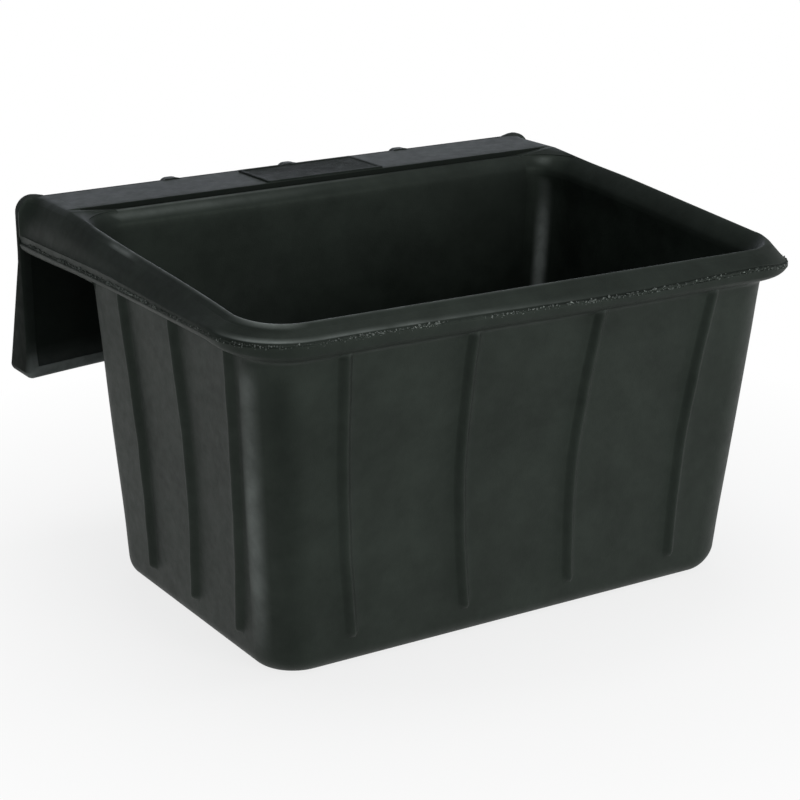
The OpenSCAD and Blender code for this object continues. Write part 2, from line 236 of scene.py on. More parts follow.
RUBBER = make_rubber(
    "rubber", (0.0045, 0.0065, 0.005), (0.0145, 0.019, 0.0155),
    roughness=(0.52, 0.62), grain=0.25, shine=0.3)
LEG_RUBBER = make_rubber(
    "rubber_leg", (0.006, 0.008, 0.0065), (0.011, 0.014, 0.012),
    roughness=(0.6, 0.75), grain=0.3, shine=0.06)
EDGE_RUBBER = make_rubber(
    "rubber_edge", (0.0065, 0.009, 0.007), (0.0115, 0.015, 0.0125),
    roughness=(0.55, 0.7), grain=0.25, shine=0.03)
PANEL_RUBBER = make_rubber(
    "rubber_panel", (0.008, 0.0105, 0.009), (0.016, 0.02, 0.0175),
    roughness=(0.55, 0.75), grain=0.8, shine=0.12)
# Paler rubber of the torn flash crumbs and the nicks; the pale tone is partly painted glints
FLASH_RUBBER = make_rubber(
    "rubber_flash", (0.035, 0.04, 0.037), (0.21, 0.23, 0.215),
    roughness=(0.2, 0.34), grain=0.3, shine=0.5)


# Pieces

def make_piece(name, points, faces, nodes, sharp=38.0, material=RUBBER, wear=None):
    """Piece of the part from points in millimetres; edges sharper than that angle stay sharp."""
    mesh = bpy.data.meshes.new(name)
    mesh.from_pydata([tuple(c * MM for c in p) for p in points], [], faces)
    if wear:
        mesh.attributes.new("wear", "FLOAT", "POINT").data.foreach_set("value", wear)
    work = bmesh.new()
    work.from_mesh(mesh)
    bmesh.ops.remove_doubles(work, verts=work.verts, dist=1e-6)
    bmesh.ops.recalc_face_normals(work, faces=work.faces)
    work.to_mesh(mesh)
    work.free()
    for polygon in mesh.polygons:
        polygon.use_smooth = True
    mesh.set_sharp_from_angle(angle=math.radians(sharp))
    mesh.materials.append(material)
    obj = bpy.data.objects.new(name, mesh)
    bpy.context.scene.collection.objects.link(obj)
    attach(obj, "root")
    if nodes:
        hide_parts(*nodes)


def make_loft(name, lofts, nodes, **look):
    """Piece of the part made of closed skins, each over its own rings of points."""
    points, faces = [], []
    for rings in lofts:
        n = len(rings[0])
        starts = [len(points) + n * k for k in range(len(rings))]
        for a, b in zip(starts, starts[1:]):
            faces.extend((a + i, a + (i + 1) % n, b + (i + 1) % n, b + i) for i in range(n))
        faces.append(tuple(starts[0] + i for i in reversed(range(n))))
        faces.append(tuple(starts[-1] + i for i in range(n)))
        points.extend(p for ring in rings for p in ring)
    make_piece(name, points, faces, nodes, **look)


# Tub: one skin from the middle of the underside, over the rim, to the middle of the floor.
# A station of it is (corner, share of the corner's turn, share of the way along the wall after it); the
# last is None on a corner, and the turn is complete on a wall.
FRONT_RIGHT, BACK_RIGHT, BACK_LEFT, FRONT_LEFT = range(4)
CORNER_STEPS = 22
RIB_STATIONS = (-1.15, -1.0, -0.96, -0.88, -0.75, -0.58, -0.38, -0.18, 0.0,
                0.18, 0.38, 0.58, 0.75, 0.88, 0.96, 1.0, 1.15)
# Rows of points up a station: shares of the floor, then steps of the round base edge, of the wall's
# lowest part, of the rest of it, of each stretch of the rim's section and of the inner wall
FLOOR_SHARES = (0.02, 0.3, 0.6, 0.85)
BASE_STEPS, LOW_STEPS, WALL_ROWS, RIM_STEPS, INNER_STEPS = 12, 13, 41, 3, 28
LOW_TOP_Z, WALL_PITCH = 30.0, 4.2
# The points that give the rim's section: ribs reach the first ones, and the crest's land has this many
RIB_POINTS, LAND_POINTS = 8, 4


def corner_centre(c, z):
    side = 1 if c in (FRONT_RIGHT, BACK_RIGHT) else -1
    y = back_y(z) - CORNER_R if c in (BACK_RIGHT, BACK_LEFT) else front_y(z) + CORNER_R
    return side * (half_w(z) - CORNER_R), y


def outline_point(station, at_z, out):
    """Plan position of a station, moved out from the wall of height at_z."""
    c, a, f = station
    if f is None:
        x, y = corner_centre(c, at_z)
        turn = math.radians(90 * (c - 1) + 90 * a)
        return x + (CORNER_R + out) * math.cos(turn), y + (CORNER_R + out) * math.sin(turn)
    x0, y0 = outline_point((c, 1.0, None), at_z, out)
    x1, y1 = outline_point(((c + 1) % 4, 0.0, None), at_z, out)
    return lerp(x0, x1, f), lerp(y0, y1, f)


def flat_half(c, z):
    """Half the length of a wall between its corners at height z."""
    if c in (FRONT_LEFT, BACK_RIGHT):
        return half_w(z) - CORNER_R
    return (back_y(z) - front_y(z)) / 2 - CORNER_R


def outward(station):
    c, a, f = station
    turn = math.radians(90 * (c - 1) + 90 * (a if f is None else 1.0))
    return math.cos(turn), math.sin(turn)


def crest_z(x, y):
    """Height of the crest: about level along the front, then rising to the saddle, with the left rim
    a little higher near the front, as the photo has it."""
    share = max(0.0, (y - SIDE_FRONT_Y) / (SIDE_BACK_Y - SIDE_FRONT_Y))
    ahead = 0.2 - 1.2 * x / 150.0
    beside = 3.6 * (1 - ease(y, -90.0, 80.0)) if x < 0 else 1.1 * (1 - ease(y, 20.0, 85.0))
    uneven = lerp(ahead, beside, ease(y, front_y(WALL_H), SIDE_FRONT_Y))
    return min(SADDLE_Z, lerp(CREST_Z, LIP_Z, share) + uneven)


def band_share(y):
    """How far the rim has changed from the front's round edge to the cheeks' two-lipped band."""
    return ease(y, SIDE_FRONT_Y - 20.0, SIDE_BACK_Y)


def rim_heights(x, y):
    """Height over the walls of the rim's lower lip, its parting line and the edge above that."""
    left, right = ease(x, 75.0, -155.0), ease(x, 60.0, 160.0)
    droop = ease(x, END_X, END_X + 24.0) * (1 - ease(y, SIDE_FRONT_Y, SIDE_FRONT_Y + 50.0))
    side = ease(y, -146.0, -96.0) if x < 0 else ease(y, -118.0, -68.0)
    back = ease(y, 20.0, 190.0)
    lip = 7.4 + 1.8 * left - 0.6 * droop
    tip = 13.4 + 4.0 * left + 1.6 * right - 4.2 * droop
    edge = tip + 1.6
    side_lip, side_tip = 14.0 - 4.2 * back, 18.4 - 2.6 * back
    side_edge = 21.6 + 2.0 * ease(y, -60.0, 60.0) - 2.6 * back
    return lerp(lip, side_lip, side), lerp(tip, side_tip, side), lerp(edge, side_edge, side)


def fascia(x, y):
    """Outer side of the rim's section from the wall to the crest, as (out, z)."""
    top, w = crest_z(x, y), band_share(y)
    lip, tip, edge = rim_heights(x, y)
    open_line = 0.9 * ease(x, 10.0, 70.0) * (1 - w)
    under = [
        (0.0, lip - 11.0), (0.1, lip - 8.4), (0.9, lip - 6.8), (3.2, lip - 5.3), (6.8, lip - 3.9),
        (10.8, lip - 2.4), (14.0, lip - 0.9), (16.0, lip + 0.7), (17.2, lip + 2.2), (17.9, tip - 1.1),
        (18.0 - 0.6 * w - open_line, tip - 0.1), (17.4 - 0.8 * w, tip + 0.8),
        (16.6 + 0.2 * w, edge - 0.2 - 0.7 * w),
        (15.9 + 1.0 * w, edge + 0.5 - 0.3 * w),
    ]
    start, end = (15.0 + 0.8 * w, WALL_H + edge + 1.3), (6.7, top - 2.9)
    slope = []
    for t in (0.5, 0.92):
        bulge = 1.2 * w * math.sin(math.pi * t)
        slope.append((lerp(start[0], end[0], t) + bulge, lerp(start[1], end[1], t) + 0.5 * bulge))
    return [(out, WALL_H + z) for out, z in under] + [start, *slope, end]


def crest_and_flare(top, back=0.0):
    """Land and crest of the rim's section and the flare down to the inner wall, as (out, z).

    Along the back the flare is shorter: back says how far the section has changed to that.
    """
    land = [(5.1, -1.6), (3.6, -0.45), (2.3, -0.05), (0.9, -0.7)]
    side = [(-1.5, -3.2), (-3.6, -6.2), (-5.4, -9.5), (-6.6, -12.8), (-7.0, -17.0)]
    short = [(-1.4, -2.3), (-3.6, -4.0), (-5.4, -6.0), (-6.7, -8.4), (-7.0, -13.0)]
    flare = [(lerp(a, c, back), lerp(b, d, back)) for (a, b), (c, d) in zip(side, short)]
    return [(out, top + z) for out, z in land + flare]


def side_section(x, y):
    return curve_through(fascia(x, y) + crest_and_flare(crest_z(x, y)), RIM_STEPS)


def back_section(corner, lip_z, back, groove):
    """Section with as many points where the hook takes over: a plain wall, the ledge with a groove of
    that depth at the foot of the saddle's step, and the flare."""
    if corner:
        ledge = [(1.6, -9.0), (2.0, -6.0), (2.2, -3.0), (2.3, -1.6),
                 (2.3, -1.0), (2.2, -0.7), (1.7, -0.5), (0.6, -1.3)]
    else:
        ledge = [(4.0, -9.0), (9.0, -6.0), (9.0, -0.3 - groove), (6.2, -0.2 - groove),
                 (5.6, -0.2), (3.4, 0.0), (1.6, -0.15), (0.4, -0.9)]
    below = len(fascia(0.0, SIDE_FRONT_Y)) + LAND_POINTS - len(ledge)
    wall = [(0.0, WALL_H - 10.0 + 41.0 * i / (below - 1)) for i in range(below)]
    flare = crest_and_flare(lip_z, back)[LAND_POINTS:]
    return curve_through(wall + [(out, lip_z + z) for out, z in ledge] + flare, RIM_STEPS)


def stations():
    """Stations round the tub, close together at the corners and the ribs."""
    out = []

    def corner(c):
        out.extend((c, k / CORNER_STEPS, None) for k in range(CORNER_STEPS + 1))

    def straight(c, ribs, pitch):
        length = 2 * flat_half(c, WALL_H)
        count = round(length / pitch)
        places = [length * k / count for k in range(1, count)]
        if not ribs:
            places += [0.5, length - 0.5]
        for top, _, _ in ribs:
            middle = length / 2 + (-top if c == BACK_LEFT else top)
            places = [p for p in places if abs(p - middle) > 0.6 * RIB_W]
            places += [middle + RIB_W / 2 * t for t in RIB_STATIONS]
        out.extend((c, 1.0, p / length) for p in sorted(places) if 0.3 < p < length - 0.3)

    corner(FRONT_RIGHT)
    straight(FRONT_RIGHT, SIDE_RIBS, 8.0)
    corner(BACK_RIGHT)
    straight(BACK_RIGHT, (), 12.0)
    corner(BACK_LEFT)
    straight(BACK_LEFT, SIDE_RIBS, 8.0)
    corner(FRONT_LEFT)
    straight(FRONT_LEFT, FRONT_RIBS, 8.0)
    return out


def rib_effect(station, z):
    """How far the ribs draw a station along its wall at height z, and how far they lift it."""
    c, _, f = station
    ribs = FRONT_RIBS if c == FRONT_LEFT else SIDE_RIBS
    if f is None or c == BACK_RIGHT:
        return 0.0, 0.0
    way = -1 if c == BACK_LEFT else 1
    end = flat_half(c, WALL_H)
    here = way * end * (2 * f - 1)
    share = clamp((z - RIB_FOOT_Z) / (WALL_H - RIB_FOOT_Z))
    half = RIB_W / 2
    shift = lift = 0.0
    for k, (top, foot, bow) in enumerate(ribs):
        away = here - top
        if away > 0:
            reach = end - top if k == len(ribs) - 1 else (ribs[k + 1][0] - top) / 2
        else:
            reach = top + end if k == 0 else (top - ribs[k - 1][0]) / 2
        pull = 1.0 - max(0.0, abs(away) - half) / (reach - half)
        if pull <= 0:
            continue
        path = lerp(foot, top, share) - bow * math.sin(math.pi * share)
        path += 0.7 * wave(top, 0.0, z, 34.0, 3.1) * math.sin(math.pi * share)
        drawn = path - top * flat_half(c, max(z, RIB_FOOT_Z)) / end
        shift += way * pull * drawn * ease(z, 0.0, RIB_FOOT_Z)
        grown = clamp((z - RIB_FOOT_Z) / half)
        size = math.sqrt(1 - (1 - grown) ** 2)
        across = abs(away) / (1.14 * half) / max(size, 0.05)
        if across < 1 and size > 0:
            uneven = 1 + 0.1 * wave(top, 4.0, z, 22.0)
            lift = RIB_H * size * uneven * (0.5 + 0.5 * math.cos(math.pi * across)) ** 0.9
    return shift, lift


def tub_ring(station):
    """Points up a station, and the range of those on the rim."""
    c, a, f = station
    nx, ny = outward(station)
    ring = []

    def put(out, z, sway=0.0, ribs=False):
        """Adds a point that far out from the wall, with its unevenness and its ribs."""
        x, y = outline_point(station, z, out)
        extra = sway * wave(x, y, z, 85.0)
        shift = 0.0
        if ribs:
            shift, lift = rib_effect(station, z)
            extra += lift
        ring.append((x + nx * extra - ny * shift, y + ny * extra + nx * shift, z))

    def put_floor(z, shares):
        x, y = outline_point(station, z, -FLOOR_INSET)
        ring.extend((x * share, y * share, z) for share in shares)

    put_floor(0.0, FLOOR_SHARES)
    put(-FLOOR_INSET, 0.0)
    put(-(FLOOR_INSET + BASE_R) / 2, 0.0)
    base_r = BASE_R
    if f is None and c != FRONT_LEFT:
        base_r += 3.5 * math.sin(math.pi * a) ** 2
    for turn in turns(0, 90, BASE_STEPS):
        put(-base_r * (1 - math.sin(turn)), base_r * (1 - math.cos(turn)), ribs=True)
    levels = [base_r + (LOW_TOP_Z - base_r) * k / LOW_STEPS for k in range(1, LOW_STEPS + 1)]
    levels += [LOW_TOP_Z + 1.0 + WALL_PITCH * k for k in range(WALL_ROWS)]
    for z in levels:
        sway = 0.55 * ease(z, BASE_R, BASE_R + 30.0) * ease(z, WALL_H - 10.0, WALL_H - 35.0)
        put(0.0, z, sway, ribs=True)

    x_top, y_top = outline_point(station, WALL_H, 0.0)
    section = side_section(x_top, y_top)
    behind = c == BACK_RIGHT and (f is not None or a > 0.1)
    behind = behind or (c == BACK_LEFT and f is None and a < 0.9)
    if behind:
        turned = 1.0 if f is not None else a if c == BACK_RIGHT else 1 - a
        lip_z = min(LIP_Z, crest_z(x_top, y_top))
        groove = 1.5 * ease(abs(x_top), END_X, END_X - 18.0)
        section = back_section(f is None, lip_z, smoothstep(turned), groove)
    rim = range(len(ring), len(ring) + len(section))
    for k, (out, z) in enumerate(section):
        shift = 0.0
        if k < RIB_POINTS * RIM_STEPS and not behind:
            shift, lift = rib_effect(station, z)
            out = max(out, lift)
        x, y = outline_point(station, min(z, WALL_H), out)
        ring.append((x - ny * shift, y + nx * shift, z))

    top_in = section[-1][1]
    for k in range(1, INNER_STEPS):
        z = top_in + (FLOOR_T + BASE_IN_R - top_in) * k / INNER_STEPS
        put(-WALL_T, z, 0.5 * ease(z, top_in, top_in - 25.0) * ease(z, 25.0, 50.0))
    for turn in reversed(turns(0, 90, BASE_STEPS)):
        put(-FLOOR_INSET + BASE_IN_R * math.sin(turn), FLOOR_T + BASE_IN_R * (1 - math.cos(turn)))
    put_floor(FLOOR_T, reversed(FLOOR_SHARES))
    return ring, rim


# Places on the rim's section where light or shade is painted, counted in the points that give it: on
# the front and the sides
LIP_ROOT, NOSE, GROOVE, EDGE = 2.6, 7.5, 12.2, 13.6
SLOPE, SHOULDER, LAND, CREST = 16.2, 18.0, 18.5, 19.8
# and along the back
STEP_FOOT, LEDGE = 16.5, 19.5
FLARE_CORNER, FLARE_TOP, FLARE_MIDDLE, FLARE_FOOT = 22.5, 22.6, 24.0, 25.0


def wear_on(station, ring, rim):
    """How much painted light (above 0) or painted shade (below 0) a station's points get."""
    c, a, f = station
    x, y = outline_point(station, WALL_H, 0.0)
    outside, inside = range(rim.start), range(rim.stop, len(ring))
    wear = [0.0] * len(ring)

    def paint_on_rim(place, amount, reach):
        """Paints light (above 0) or shade (below 0) on the rim about a place on its section."""
        for k in rim:
            wear[k] += amount * bell((k - rim.start) / RIM_STEPS, place, reach)

    if c in (BACK_RIGHT, BACK_LEFT) and y > SIDE_BACK_Y - 1.0:
        if f is not None:
            # Along the back: painted highlights on the ledge and the flare's top, painted shade at the
            # foot of the saddle's step and of the flare, and on the inner wall painted light in patches
            # low on the left and painted shade high on the right
            shade = 0.4 * ease(x, -60.0, 160.0)
            paint_on_rim(LEDGE, 0.5 * ease(x, 85.0, -65.0), 1.8)
            paint_on_rim(FLARE_FOOT, -shade, 3.0)
            paint_on_rim(STEP_FOOT, -0.9, 1.6)
            paint_on_rim(FLARE_TOP, 0.3 * ease(x, 30.0, -160.0), 2.0)
            for k in inside:
                z = ring[k][2]
                patch = 0.05 + 0.07 * wave(x, 0.0, z, 24.0, 1.7)
                wear[k] += patch * ease(x, 90.0, -110.0) * ease(z, 225.0, 180.0)
                wear[k] -= shade * ease(z, 150.0, 210.0)
        elif c == BACK_RIGHT:
            # Painted highlight: a streak down the inner corner and a spot on the flare above it
            near = bell(a, 0.62, 0.2)
            paint_on_rim(FLARE_CORNER, 0.35 * near, 2.0)
            for k in inside:
                z = ring[k][2]
                wear[k] += near * (1.5 - 1.25 * ease(z, 188.0, 226.0)) * ease(z, 30.0, 90.0)
        else:
            # Painted shade on the flare in this inner corner, and the painted highlight of the back's
            # flare top carried on into it
            paint_on_rim(FLARE_MIDDLE, -0.8 * math.sin(math.pi * a), 3.5)
            paint_on_rim(FLARE_TOP, 0.3 * (1 - ease(a, 0.0, 0.4)), 2.0)
        return wear

    front = 1 - ease(y, front_y(WALL_H), SIDE_FRONT_Y)
    left_side = 1 - front if x < 0 else 0.0
    corner = math.sin(math.pi * a) if f is None and c == FRONT_LEFT else 0.0
    uneven = 0.75 + 0.5 * wave(x, y, 3.0, 16.0)
    # Painted highlights along the crest, the edge above the parting line, the lip's root and the land
    # at the corner, and a pale line on the left rim's shoulder; painted shade in the groove over the
    # parting line and on the slope at the corner; darker on the nose. The crest lines are also
    # smoother, as polished rubber is.
    crest = 0.45 * left_side + 0.5 * front * (0.4 + 0.6 * ease(x, 110.0, -120.0))
    paint_on_rim(CREST, uneven * crest + 0.9 * corner, 1.4)
    paint_on_rim(EDGE, uneven * 0.75 * front * ease(x, 90.0, -160.0) + 0.7 * corner, 1.1)
    paint_on_rim(NOSE, -0.25 * front, 2.5)
    paint_on_rim(GROOVE, -1.0 * front * (0.15 + 0.85 * ease(x, -100.0, 50.0)), 1.3)
    paint_on_rim(LIP_ROOT, 0.14 * front, 1.6)
    paint_on_rim(LAND, 0.55 * corner, 1.3)
    paint_on_rim(SLOPE, -0.35 * corner, 1.4)
    paint_on_rim(SHOULDER, 0.9 * left_side * bell(y, 36.0, 26.0), 1.4)
    if corner:
        # Painted highlight: a pale streak up the outer corner, and a band of painted shade beside it
        # towards the front
        for k in outside:
            z = ring[k][2]
            streak = 0.48 + 0.2 * bell(z, 95.0, 90.0)
            wear[k] += streak * bell(a, 0.175, 0.24) * ease(z, 2.0, 42.0)
            wear[k] -= (0.12 + 0.25 * ease(z, 60.0, 180.0)) * bell(a, 0.65, 0.3)
    return wear


def make_tub():
    walk = stations()
    points, wear, faces = [], [], []
    for station in walk:
        ring, rim = tub_ring(station)
        points += ring
        wear += wear_on(station, ring, rim)
    n, count = len(ring), len(walk)
    for k in range(count):
        a, b = k * n, (k + 1) % count * n
        faces.extend((a + i, a + i + 1, b + i + 1, b + i) for i in range(n - 1))
    faces.append(tuple(k * n for k in range(count)))
    faces.append(tuple((count - 1 - k) * n + n - 1 for k in range(count)))
    make_piece("tub", points, faces, [
        "tub_floor", "front_wall", "right_wall", "back_wall", "left_wall", "front_rim", "right_rim",
        "left_rim", "back_lip", "front_ribs", "right_ribs", "left_ribs",
    ], wear=wear)


# Hook: cheeks, saddle, leg, flange and ribs

def leg_end_x(z):
    """Outer face of the leg's end, which rounds off at the top."""
    past = max(0.0, z - (SADDLE_Z - LEG_CORNER_R))
    return LEG_HALF_W - LEG_CORNER_R + math.sqrt(max(LEG_CORNER_R ** 2 - past ** 2, 0.0))


def cheek_outer(y):
    """Outer side and crest of a cheek's section as (x, z), from its underside up, with a fillet where
    it meets the leg's end."""
    section = curve_through(fascia(-HALF_TOP, y), RIM_STEPS)[4 * RIM_STEPS:]
    top = crest_z(-HALF_TOP, y)
    outer = [(HALF_TOP + d, z) for d, z in section]
    outer += [(HALF_TOP + 5.1, top - 1.6), (HALF_TOP + 3.6, top - 0.45), (CREST_X, top)]
    turn = clamp((y - LEG_Y + LEG_FILLET) / LEG_FILLET)
    blend = 1 - math.sqrt(1 - turn ** 2)
    out = []
    for x, z in outer:
        share = blend * ease(z, WALL_H + 13.0, WALL_H + 23.0)
        out.append((x + share * max(0.0, leg_end_x(z) - x), z))
    return out


def saddle_step(y):
    """Height of the ledge, the step and the saddle behind it."""
    return lerp(LIP_Z, SADDLE_Z, ease(y, STEP_Y, STEP_Y + STEP_RUN))


def make_cheek(side, name):
    """One end of the hook: the rim's outer side carried back to the leg, and the fill of the tub's
    corner."""
    flare_r, wall_r = CORNER_R + 1.9, CORNER_R - 3.5
    rows = [SIDE_BACK_Y + flare_r * math.sin(t) for t in turns(0, 90, 20)]
    rows += [122.0, STEP_Y]
    rows += [STEP_Y + d for d in (0.05, 0.5, 0.9, 1.4, 1.9, STEP_RUN)]
    rows += [130.0 + 6.0 * k for k in range(6)]
    rows += [LEG_Y - LEG_FILLET * (1 - math.sin(t)) for t in turns(0, 90, 9)]
    rows += [LEG_Y + 1.5]
    rings = []
    for y in rows:
        top = crest_z(-HALF_TOP, y)
        reach = y - SIDE_BACK_Y
        inner, under = ARM_IN_X - 0.5, ARM_IN_X
        if y <= STEP_Y:
            inner = END_X + math.sqrt(max(flare_r ** 2 - reach ** 2, 0.0)) - 0.2
        if y < back_y(WALL_H):
            under = END_X + math.sqrt(max(wall_r ** 2 - reach ** 2, 100.0))
        inner_z = min(saddle_step(y), top)
        ring = [(under, WALL_H + 5.0), (HALF_TOP - 1.0, WALL_H + 4.0), (HALF_TOP + 3.5, WALL_H + 4.6)]
        ring += cheek_outer(y)
        ring += [(lerp(inner, CREST_X, t), lerp(inner_z, top, t)) for t in (0.66, 0.33)]
        ring += [(inner, inner_z - 0.03), (inner, inner_z - 4.0), (min(under, inner), inner_z - 8.0)]
        rings.append([(side * x, y, z) for x, z in ring])
    make_loft(name, [rings], [name])


def make_saddle():
    """Flat top of the hook, with the step at its front, the web under it and the ends of the corner
    fill. The step's face has painted shade."""
    profile = [(SADDLE_FRONT_Y, LIP_Z - 2.4), (SADDLE_FRONT_Y, LIP_Z + 0.5)]
    profile += arc(SADDLE_FRONT_Y + 0.7, SADDLE_Z - 0.7, 0.7, 180, 90, QUARTER_STEPS)
    profile += [(y, SADDLE_Z) for y in (135.0, 145.0, 155.0, 165.0, LEG_Y)]
    profile += [(LEG_Y + 1.0, SADDLE_Z - 1.0), (LEG_Y + 1.0, SADDLE_Z - SADDLE_T - 3.0)]
    profile += arc(LEG_Y - 3.0, SADDLE_Z - SADDLE_T - 3.0, 3.0, 0, 90, QUARTER_STEPS)
    profile += [(SADDLE_FRONT_Y + 1.5, SADDLE_Z - SADDLE_T), (SADDLE_FRONT_Y, SADDLE_Z - 12.0)]
    profile += [(119.2, SADDLE_Z - 17.8), (119.0, WALL_H), (116.0, WALL_H), (116.0, 238.0)]
    profile += [(121.0, LIP_Z - 3.0)]
    # Painted shade on the step's face
    painted_shade = [-0.85 if y < SADDLE_FRONT_Y + 0.3 and z > LIP_Z - 4.0 else 0.0 for y, z in profile]
    steps = 40
    rings = []
    for k in range(steps + 1):
        x = -ARM_IN_X + 2 * ARM_IN_X * k / steps
        rings.append([(x, y, z) for y, z in profile])
    make_loft("hook_saddle", [rings], ["hook_saddle"], wear=painted_shade * len(rings))


def leg_top(x):
    """Height of the leg's upper edge, which rounds off at both ends."""
    past = max(0.0, abs(x) - (LEG_HALF_W - LEG_CORNER_R))
    return SADDLE_Z - LEG_CORNER_R + math.sqrt(max(LEG_CORNER_R ** 2 - past ** 2, 0.0))


def foot_z(x):
    """Underside of the leg's arched foot."""
    return LEG_FOOT_Z + FOOT_ARCH * (1 - (x / LEG_HALF_W) ** 2)


def make_leg():
    """Panel that hangs behind the rail, with painted light a little above its foot."""
    rings, wear = [], []
    end, steps = LEG_HALF_W - EDGE_T, 42
    for k in range(2 * steps + 1):
        x = end * (k / steps - 1)
        drop = SADDLE_Z - leg_top(x)
        foot = foot_z(x) + FOOT_T - 5.0
        levels = [foot, foot + 5.0, foot + 9.0, foot + 14.0, foot + 20.0]
        levels += [205.0, SADDLE_Z - 6.0, SADDLE_Z - drop]
        profile = [(LEG_Y, z) for z in levels]
        profile += [(y, z - drop) for y, z in arc(SADDLE_BACK_Y - 5.0, SADDLE_Z - 5.0, 5.0, 90, 0, 6)]
        profile += [(SADDLE_BACK_Y, 205.0), (SADDLE_BACK_Y, 165.0), (SADDLE_BACK_Y, foot)]
        rings.append([(x, y, z) for y, z in profile])
        # Painted light on the front face a little above the foot
        wear += [0.2 * ease(z, foot + 20.0, foot + 4.0) if y == LEG_Y else 0.0 for y, z in profile]
    make_loft("hook_leg", [rings], ["hook_leg"], material=LEG_RUBBER, wear=wear)


def edge_back_y(z):
    """Back of the leg's flange: shallow beside the cheek, then deepening to the foot."""
    share = max(0.0, (EDGE_START_Z - z) / (EDGE_START_Z - LEG_FOOT_Z))
    return LEG_Y + EDGE_TOP_D + (EDGE_FOOT_D - EDGE_TOP_D) * share


def rib_back_y(z):
    return LEG_Y + LEG_RIB_TOP_D + (LEG_RIB_FOOT_D - LEG_RIB_TOP_D) * (SADDLE_Z - z) / LEG_H


def flange_path():
    """Middle of the flange from the leg's right end over the foot to its left end, as (x, z), the way
    out there and the room that a bend leaves inside."""
    half = EDGE_T / 2
    x_end, z_top = LEG_HALF_W - half, SADDLE_Z + 1.2 - half
    bend, foot_bend = LEG_CORNER_R - half, 1.0
    bend_x, foot_x = x_end - bend, x_end - foot_bend

    def bent(cx, cz, start, end, r):
        return [(cx + r * math.cos(t), cz + r * math.sin(t), math.cos(t), math.sin(t), r)
                for t in turns(start, end, 8)]

    def along_foot(x):
        return x, foot_z(x) + FOOT_T / 2, 0.0, -1.0, EDGE_T

    foot_end_z = along_foot(foot_x)[1] + foot_bend
    right = [(bend_x - 9.0, z_top - 1.6, 0.0, 1.0, EDGE_T)]
    right += [(bend_x - 4.0, z_top - 0.4, 0.0, 1.0, EDGE_T)]
    right += bent(bend_x, z_top - bend, 90, 0, bend)
    right += [(x_end, 235.0 - 8.0 * k, 1.0, 0.0, EDGE_T) for k in range(12)]
    right += [(x_end, foot_end_z, 1.0, 0.0, EDGE_T)]
    right += bent(foot_x, foot_end_z, 0, -90, foot_bend)
    right += [along_foot(foot_x)]
    left = [(-x, z, -nx, nz, room) for x, z, nx, nz, room in reversed(right)]
    return right + [along_foot(x) for x in range(200, -201, -10)] + left


def make_flange():
    """Rounded flange round the leg's ends and foot, one sweep that deepens towards the foot. It has
    painted light in front, most at the foot, and at its top ends."""
    rings, wear = [], []
    for x, z, nx, nz, room in flange_path():
        front = LEG_Y - 0.4 + 0.2 * nz
        deep = edge_back_y(z) - front
        low = ease(z, 150.0, 130.0)
        thick = lerp(EDGE_T / 2, FOOT_T / 2, low)
        r, r_out = min(2.6, thick - 0.4), min(2.6 + 2.6 * low, deep / 2 - 0.2)
        # Painted light on the front face, strongest at the foot, and at the top ends
        painted_front_light = 0.06 + 1.25 * ease(z, LEG_FOOT_Z + 24.0, LEG_FOOT_Z + 8.0)
        ring = []
        for su, sv, start in QUARTERS:
            round_r = r_out if su > 0 else r if sv > 0 else 0.3
            cu, cv = su * (thick - round_r), deep / 2 + sv * (deep / 2 - round_r)
            if su < 0:
                round_r = min(round_r, 0.9 * room)
                cu = round_r - min(thick, 0.95 * room)
            for i, t in enumerate(turns(start, start + 90, QUARTER_STEPS)):
                u, v = cu + round_r * math.cos(t), cv + round_r * math.sin(t)
                ring.append((x + nx * u, front + v, z + nz * u))
                facing = 0.0 if sv > 0 else 1.0
                if sv < 0 < su:
                    facing -= (0.5 if nz < 0 else 1.0) * i / QUARTER_STEPS
                wear.append(facing * painted_front_light + 0.15 * ease(z, 232.0, 246.0))
        rings.append(ring)
    nodes = ["right_flange", "left_flange", "foot_flange"]
    make_loft("leg_flange", [rings], nodes, sharp=50.0, material=EDGE_RUBBER, wear=wear)


def make_leg_ribs():
    """Stiffening ribs on the leg's back, deeper towards the foot and rounded off at the top."""
    tops = ((0.0, 0.2), (0.2, 0.38), (0.6, 0.55), (1.4, 0.72), (3.0, 0.87), (6.0, 1.0))
    lofts = []
    for middle in LEG_RIBS:
        levels = [(SADDLE_Z + 0.7 - d, grow) for d, grow in tops]
        levels += [(244.0 - 11.0 * k, 1.0) for k in range(10)]
        levels += [(foot_z(middle) + FOOT_T - 3.0, 1.0)]
        rings = []
        for z, grow in levels:
            root = -2.0 - 4.0 * ease(z, SADDLE_Z - 8.0, SADDLE_Z - 2.0)
            deep = (rib_back_y(z) - SADDLE_BACK_Y) * grow
            half = LEG_RIB_W / 2 * (0.35 + 0.65 * grow)
            r = min(4.0, deep + 1.0, half)
            section = [
                (-half - 1.3, root), (-half - 1.1, root + 0.6),
                (-half - 0.4, min(root + 1.8, deep - 0.6)), (-half, min(root + 3.2, deep - 0.4)),
            ]
            section += [(-half + r * (1 - math.cos(t)), deep - r * (1 - math.sin(t)))
                        for t in turns(0, 90, QUARTER_STEPS)[1:]]
            section += [(-u, v) for u, v in reversed(section)]
            rings.append([(middle + u, SADDLE_BACK_Y + v, z) for u, v in section])
        lofts.append(rings)
    make_loft("leg_ribs", lofts, ["leg_ribs"], sharp=50.0)


